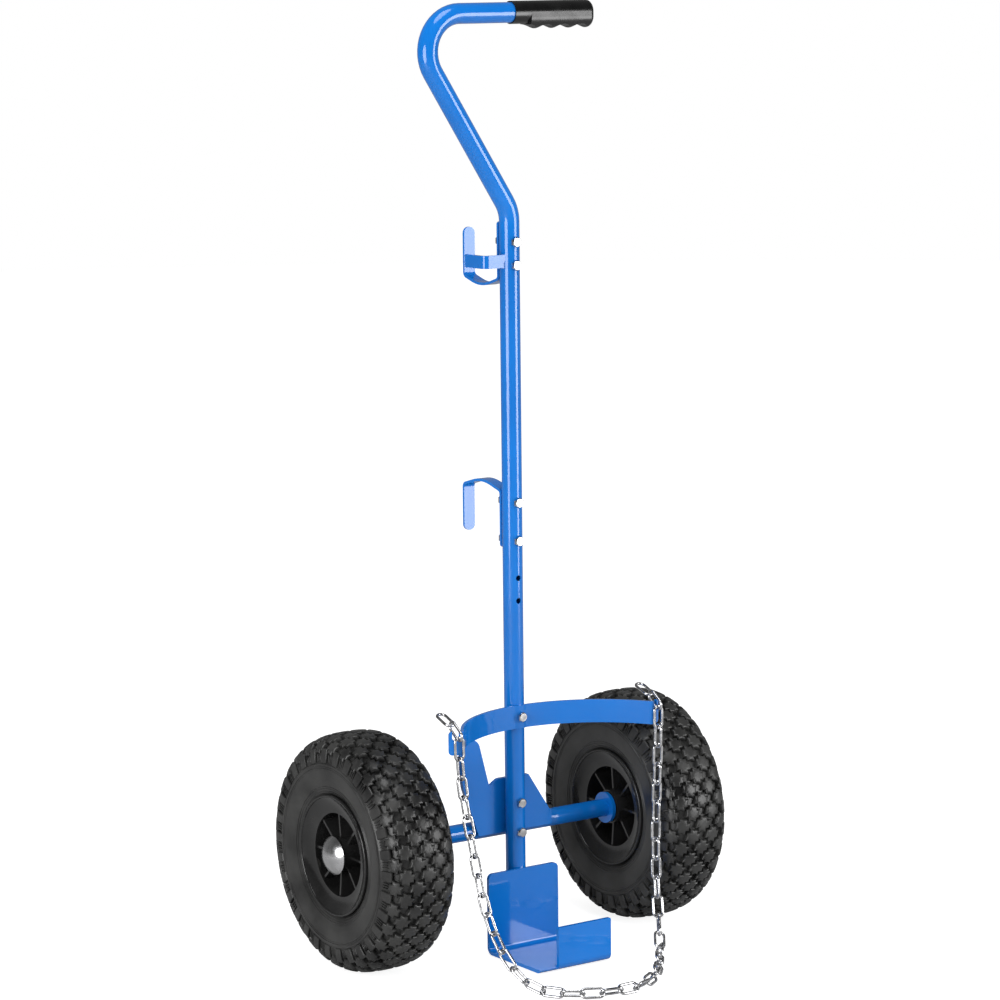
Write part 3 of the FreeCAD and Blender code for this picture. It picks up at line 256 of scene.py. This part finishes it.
# %% [markdown]
# ## Blue powder coat, black rubber and plastic, bright zinc
# The frame is sprayed with gloss blue powder, which flows out to a fine orange peel. The grip is
# shiny soft vinyl, the tyres are duller rubber, and the rims are satin plastic. The small parts are
# plated, the brass valves with nickel.
# %% The trolley's finishes
finishes = {
    "blue_paint": finish("blue_powder_coat", (0.003, 0.145, 0.53), (0.004, 0.175, 0.62), (0.16, 0.24),
                         patch=7, grain=420, lift=1e-6, coat=0.9),
    "grip_rubber": finish("black_vinyl", (0.003, 0.003, 0.003), (0.006, 0.006, 0.006), (0.2, 0.3),
                          patch=40, grain=900, lift=1e-5),
    "tyre_rubber": finish("black_tyre_rubber", (0.010, 0.010, 0.010), (0.034, 0.034, 0.033), (0.34, 0.46),
                          patch=28, grain=700, lift=4e-5),
    "rim_plastic": finish("black_satin_plastic", (0.010, 0.010, 0.010), (0.020, 0.020, 0.020), (0.12, 0.2),
                          patch=24, grain=1100, lift=1e-5),
    "bright_zinc": finish("bright_zinc", (0.50, 0.50, 0.51), (0.74, 0.74, 0.75), (0.12, 0.24),
                          patch=160, grain=1500, lift=4e-6, metal=1.0),
    "cap_chrome": finish("chrome_cap", (0.50, 0.50, 0.51), (0.62, 0.62, 0.63), (0.2, 0.3),
                         patch=60, grain=900, lift=2e-6, metal=1.0),
    "valve_brass": finish("valve_nickel", (0.30, 0.29, 0.27), (0.42, 0.41, 0.38), (0.3, 0.4),
                          patch=80, grain=900, lift=5e-6, metal=1.0),
    "plain_steel": finish("plain_steel", (0.42, 0.42, 0.43), (0.55, 0.55, 0.56), (0.25, 0.4),
                          patch=120, grain=1400, lift=1e-5, metal=1.0),
}
print("finishes:", sorted(finishes))

# %% Finishes onto the pieces
FINISH_OF = (
    (("bolt", "nut", "chain", "washer"), "bright_zinc"),
    (("tyre", "inner_tube"), "tyre_rubber"),
    (("hub_bush", "rim_"), "rim_plastic"),
    (("grip",), "grip_rubber"),
    (("cap",), "cap_chrome"),
    (("valve",), "valve_brass"),
    (("sleeve", "rod"), "plain_steel"),
)


def finish_for(name):
    """Which finish a piece has, by the words in its name; the bare frame is blue."""
    for words, chosen in FINISH_OF:
        if any(word in name for word in words):
            return chosen
    return "blue_paint"


for name, piece in pieces.items():
    piece.data.materials.clear()
    piece.data.materials.append(finishes[finish_for(name)])
print({f: sum(finish_for(n) == f for n in pieces) for f in finishes})

# %% [markdown]
# ## The tyre's cross-section
# A trolley tyre is moulded: a flat crown, round shoulders and a bulged sidewall that ends in a bead
# under the rim's flange. The crown is drawn by a rounded-square curve and the sidewall by an
# ellipse, because two formulas give a cleaner section than a long list of points. The crown is walked
# in small, even steps first, so that later a distance along the rubber can be turned into a place.
# %% Section curve
MM = 0.001
TYRE_R, WIDEST_R, HALF_W = 130, 98, 42.2
SQUARENESS = 2 / 3
WALK_STEPS, EVEN_OUT = 600, 1.5


def crown_point(share):
    """Place (across, radius) on the crown's curve, from the middle line (0) to the widest place (1)."""
    angle = share * math.pi / 2
    across = HALF_W * math.sin(angle) ** SQUARENESS
    return across, WIDEST_R + (TYRE_R - WIDEST_R) * max(0.0, math.cos(angle)) ** SQUARENESS


walk = [(0.0, *crown_point(0))]
for step in range(1, WALK_STEPS + 1):
    across, radius = crown_point((step / WALK_STEPS) ** EVEN_OUT)
    run = walk[-1][0] + math.hypot(across - walk[-1][1], radius - walk[-1][2])
    walk.append((run, across, radius))
CROWN_RUN = walk[-1][0]
print("from the middle line to the widest place:", round(CROWN_RUN, 2), "mm")


# %% [markdown]
# ## Laying a flat pattern round the tyre
# The tread is drawn flat and then laid round the tyre, as a mould maker does it. A flat drawing has
# x along the rolling direction, y across and z for height; one function turns that into a place on
# the wheel. No bending tool follows two curvatures at once, so the vertices are moved by this
# function.
# %% From flat to round
PITCHES = 30
PITCH = 2 * math.pi * TYRE_R / PITCHES
END_GAP = 0.01


def on_crown(run):
    """Across, radius and outward direction at a distance from the middle line."""
    run = min(max(run, END_GAP), CROWN_RUN - END_GAP)
    low, high = 0, len(walk) - 1
    while high - low > 1:
        mid = (low + high) // 2
        low, high = (mid, high) if walk[mid][0] <= run else (low, mid)
    (run0, across0, radius0), (run1, across1, radius1) = walk[low], walk[high]
    part = (run - run0) / (run1 - run0)
    along = Vector((across1 - across0, radius1 - radius0)).normalized()
    across = across0 + part * (across1 - across0)
    radius = radius0 + part * (radius1 - radius0)
    return across, radius, Vector((-along.y, along.x))


def laid_round(flat):
    """Place on a tyre at the origin for a flat place in millimetres."""
    across, radius, outward = on_crown(abs(flat.y))
    side = -1 if flat.y < 0 else 1
    across, radius = across + flat.z * outward.x, radius + flat.z * outward.y
    angle = (flat.x + PITCH / 2) / TYRE_R
    return Vector((side * across, -radius * math.sin(angle), radius * math.cos(angle))) * MM


print("shoulder at 47 mm:", [round(v, 1) for v in on_crown(47)[:2]])

# %% [markdown]
# ## The carcass
# Under the tread lies the carcass, a plain ring. Its half section runs from the middle of the
# groove floor over the shoulder and the sidewall, with its fine moulded rings, to the bead, and
# back inside. A circle of edges is pulled into that section and spun round the axle.
# %% Carcass section
GROOVE = 5.6
groove_floor = [(run, GROOVE) for run in (0, 8, 16, 24, 31, 37, 42, 46)]
shoulder = [(49, 4.2), (51.5, 3.6), (55, 3.2), (58, 2.4), (60.5, 1), (61.3, 0.1)]
half_section = []
for run, depth in groove_floor + shoulder:
    across, radius, outward = on_crown(run)
    half_section.append((across - depth * outward.x, radius - depth * outward.y))

SIDE_DROP, SIDE_END = 60.6, 31
RING_HALF, RING_STEP = 0.5, 0.25
RINGS = ((1.6, 0.6), (3.4, 0.4), (23, 0.5), (25.4, 0.4), (28.4, 0.8))
sidewall = [(degrees, 0) for degrees in (4.6, 8, 12, 16, 20, SIDE_END)]
for ring, raised in RINGS:
    for beside, height in ((RING_HALF + RING_STEP, 0), (RING_HALF, raised)):
        sidewall += [(ring - beside, height), (ring + beside, height)]
for degrees, raised in sorted(sidewall):
    angle = math.radians(degrees)
    across = (HALF_W + raised) * math.cos(angle)
    half_section.append((across, WIDEST_R - (SIDE_DROP + raised) * math.sin(angle)))

BEAD = [(28.2, 60.3), (28.2, 51), (23, 51)]
LINING = [(22.6, 56), (30, 72), (35, 90), (34, 106), (27, 116), (14, 119.5)]
LINING_R = 120
half_section += BEAD + LINING
other_half = [(-across, radius) for across, radius in reversed(half_section[1:])]
section = half_section + [(0, LINING_R)] + other_half
print("section points:", len(section))

# %% Spin the carcass
SPIN_STEPS = 156


def alone(piece):
    """Select one piece and nothing else."""
    bpy.ops.object.select_all(action="DESELECT")
    piece.select_set(True)
    bpy.context.view_layer.objects.active = piece


bpy.ops.object.select_all(action="DESELECT")
bpy.ops.mesh.primitive_circle_add(vertices=len(section), radius=0.1)
carcass = bpy.context.object
carcass.name = "tyre_carcass"
for vertex, (across, radius) in zip(carcass.data.vertices, section):
    vertex.co = Vector((across, 0, radius)) * MM
alone(carcass)
bpy.ops.object.mode_set(mode="EDIT")
bpy.ops.mesh.select_all(action="SELECT")
bpy.ops.mesh.spin(steps=SPIN_STEPS, angle=2 * math.pi, center=(0, 0, 0), axis=(1, 0, 0))
bpy.ops.mesh.select_all(action="SELECT")
bpy.ops.mesh.remove_doubles(threshold=0.01 * MM)
bpy.ops.mesh.normals_make_consistent(inside=False)
bpy.ops.object.mode_set(mode="OBJECT")
print("carcass faces:", len(carcass.data.polygons))

# %% [markdown]
# ## One tread block
# The tread is made of diamonds with toothed sides that fit into each other. A circle of four
# corners is a diamond; each side is divided and its new corners are pushed out and in by turns.
# The four sharp tips are trimmed, and the diamond shrinks a little to leave a channel all round. The
# face is then raised, two insets round its edge, and its middle gets a few points to curve by.
# %% Toothed diamond
bpy.ops.object.select_all(action="DESELECT")
bpy.ops.mesh.primitive_circle_add(vertices=4, radius=PITCH / 2, fill_type="NGON")
block = bpy.context.object
block.name = "tread_block"
bpy.ops.object.mode_set(mode="EDIT")
bpy.ops.mesh.select_all(action="SELECT")
bpy.ops.mesh.subdivide(number_cuts=4)
bpy.ops.object.mode_set(mode="OBJECT")
print("corners on one block:", len(block.data.vertices))


# %% Push the teeth
TOOTH, TRIM, NEAR = 2.1, 3.4, 0.3
TEETH = ((0.2, 1), (0.4, -1), (0.6, 1), (0.8, -1))


def push(piece, test, move):
    """Move the vertices that pass a test by one step."""
    alone(piece)
    bpy.ops.object.mode_set(mode="EDIT")
    bpy.ops.mesh.select_mode(type="VERT")
    bpy.ops.mesh.select_all(action="DESELECT")
    bpy.ops.object.mode_set(mode="OBJECT")
    chosen = [v.index for v in piece.data.vertices if test(v.co)]
    for index in chosen:
        piece.data.vertices[index].select = True
    bpy.ops.object.mode_set(mode="EDIT")
    bpy.ops.transform.translate(value=move)
    bpy.ops.object.mode_set(mode="OBJECT")
    return len(chosen)


def toothed(turn, share):
    """Test for the corner at a share of the side that starts at a turn."""
    start = Vector((math.cos(turn), math.sin(turn), 0)) * PITCH / 2
    end = Vector((-math.sin(turn), math.cos(turn), 0)) * PITCH / 2
    return lambda place: (place - start.lerp(end, share)).length < NEAR


teeth = 0
for quarter in range(4):
    turn = quarter * math.pi / 2
    outward = Vector((math.cos(turn + math.pi / 4), math.sin(turn + math.pi / 4), 0))
    for share, sign in TEETH:
        teeth += push(block, toothed(turn, share), outward * (sign * TOOTH))
for quarter in range(4):
    turn = quarter * math.pi / 2
    inward = Vector((-math.cos(turn), -math.sin(turn), 0))
    teeth += push(block, toothed(turn, 0), inward * TRIM)
print("corners moved:", teeth)

# %% Raise the block and round its edge
CHANNEL, ROOT = 1.7, 1.1
EDGE_W, EDGE_H = 0.5, 0.8
TOP_W, TOP_H = 1.1, 0.7
MIDDLE_SHARE = 0.5
alone(block)
bpy.ops.object.mode_set(mode="EDIT")
bpy.ops.mesh.select_all(action="SELECT")
shrink = 1 - CHANNEL / (PITCH / 2 * math.sqrt(0.5))
bpy.ops.transform.resize(value=(shrink, shrink, 1))
wall = GROOVE + ROOT - EDGE_H - TOP_H
bpy.ops.mesh.extrude_region_move(TRANSFORM_OT_translate={"value": (0, 0, wall)})
bpy.ops.mesh.inset(thickness=EDGE_W, depth=EDGE_H)
bpy.ops.mesh.inset(thickness=TOP_W, depth=TOP_H)
bpy.ops.mesh.extrude_region_move(TRANSFORM_OT_translate={"value": (0, 0, 0)})
bpy.ops.transform.resize(value=(MIDDLE_SHARE, MIDDLE_SHARE, 1))
bpy.ops.mesh.poke()
bpy.ops.mesh.select_all(action="SELECT")
bpy.ops.transform.translate(value=(0, 0, -GROOVE - ROOT))
bpy.ops.object.mode_set(mode="OBJECT")
print("faces on one block:", len(block.data.polygons), "top at", max(v.co.z for v in block.data.vertices))

# %% [markdown]
# ## Shoulder lugs and fine ribs
# On the shoulder the tread runs out in smooth lugs, and between two lugs stand three thin ribs.
# Both start as a box. It is divided, so that it can follow the shoulder's round, and a bevel softens
# its edges, because a mould never gives a sharp one.
# %% Lug and rib
SOFT_EDGE = 0.8


def shoulder_bar(name, wide, low, high, foot, top):
    """Box from one distance across to another, with bevelled edges."""
    bpy.ops.object.select_all(action="DESELECT")
    bpy.ops.mesh.primitive_cube_add(size=1, location=(0, (low + high) / 2, (foot + top) / 2))
    bar = bpy.context.object
    bar.name = name
    bar.scale = (wide, high - low, top - foot)
    bpy.ops.object.transform_apply(location=True, rotation=False, scale=True)
    bpy.ops.object.mode_set(mode="EDIT")
    bpy.ops.mesh.select_all(action="SELECT")
    bpy.ops.mesh.subdivide(number_cuts=2)
    bpy.ops.object.mode_set(mode="OBJECT")
    soften = bar.modifiers.new("soften", "BEVEL")
    soften.width = min(SOFT_EDGE, wide / 4)
    soften.segments = 1
    soften.limit_method = "ANGLE"
    bpy.ops.object.modifier_apply(modifier="soften")
    return bar


lug = shoulder_bar("shoulder_lug", wide=12.5, low=44, high=60.4, foot=-4.6, top=0)
rib = shoulder_bar("shoulder_rib", wide=1.6, low=50, high=60.2, foot=-4, top=-1.3)
print("lug faces:", len(lug.data.polygons), "rib faces:", len(rib.data.polygons))


# %% [markdown]
# ## One pitch, then the whole ring
# One pitch of the pattern is put together flat: seven staggered blocks across, a lug and three ribs
# on each side. An array repeats it round the tyre, and then the flat strip is laid round.
# %% Put one pitch together
def copied(piece, name, x, y, flip=False):
    """Copy of a flat piece with its own mesh, moved, and turned about for the other side."""
    again = piece.copy()
    again.data = piece.data.copy()
    again.name = name
    bpy.context.scene.collection.objects.link(again)
    turn = Matrix.Rotation(math.pi, 4, "Z") if flip else Matrix.Identity(4)
    again.data.transform(Matrix.Translation((x, y, 0)) @ turn)
    return again


ROWS, RIB_APART = 3, 3.4
strip = []
for row in range(-ROWS, ROWS + 1):
    strip.append(copied(block, f"block_{row}", PITCH / 2 if row % 2 else 0, row * PITCH / 2))
for flip in (False, True):
    strip.append(copied(lug, "lug", 0, 0, flip))
    for beside in (-RIB_APART, 0, RIB_APART):
        strip.append(copied(rib, "rib", PITCH / 2 + beside, 0, flip))
bpy.ops.object.select_all(action="DESELECT")
for part in strip:
    part.select_set(True)
tread = strip[0]
bpy.context.view_layer.objects.active = tread
bpy.ops.object.join()
tread.name = "tread"
for part in (block, lug, rib):
    bpy.data.objects.remove(part)
print("faces in one pitch:", len(tread.data.polygons))

# %% Repeat and lay round
SMOOTH_UNDER = 38
alone(tread)
again = tread.modifiers.new("round_the_tyre", "ARRAY")
again.count = PITCHES
again.use_relative_offset = False
again.use_constant_offset = True
again.constant_offset_displace = (PITCH, 0, 0)
bpy.ops.object.modifier_apply(modifier="round_the_tyre")
for vertex in tread.data.vertices:
    vertex.co = laid_round(vertex.co)
bpy.ops.object.select_all(action="DESELECT")
tread.select_set(True)
carcass.select_set(True)
bpy.context.view_layer.objects.active = carcass
bpy.ops.object.join()
alone(carcass)
bpy.ops.object.shade_smooth_by_angle(angle=math.radians(SMOOTH_UNDER))
carcass.data.materials.clear()
carcass.data.materials.append(finishes["tyre_rubber"])
print("tyre triangles:", sum(len(p.vertices) - 2 for p in carcass.data.polygons))

# %% [markdown]
# ## Mounting the tyres
# A tyre is levered over its rim until its middle lies in the middle of the wheel, where the wheel's
# hinge is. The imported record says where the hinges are. Both wheels get a copy of the same tyre.
# %% Mount both tyres
SIDES = ("right", "left")
hinges = {joint["child"]: Vector(joint["pos_m"]) for joint in frame["joints"]}
for side in SIDES:
    tyre = carcass.copy()
    tyre.data = carcass.data.copy()
    tyre.name = f"treaded_tyre_{side}"
    bpy.context.scene.collection.objects.link(tyre)
    tyre.data.transform(Matrix.Translation(hinges[f"{side}_wheel"]))
    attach(tyre, f"{side}_wheel")
    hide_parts(f"tyre_{side}")
bpy.data.objects.remove(carcass)
print("tyres mounted:", SIDES)
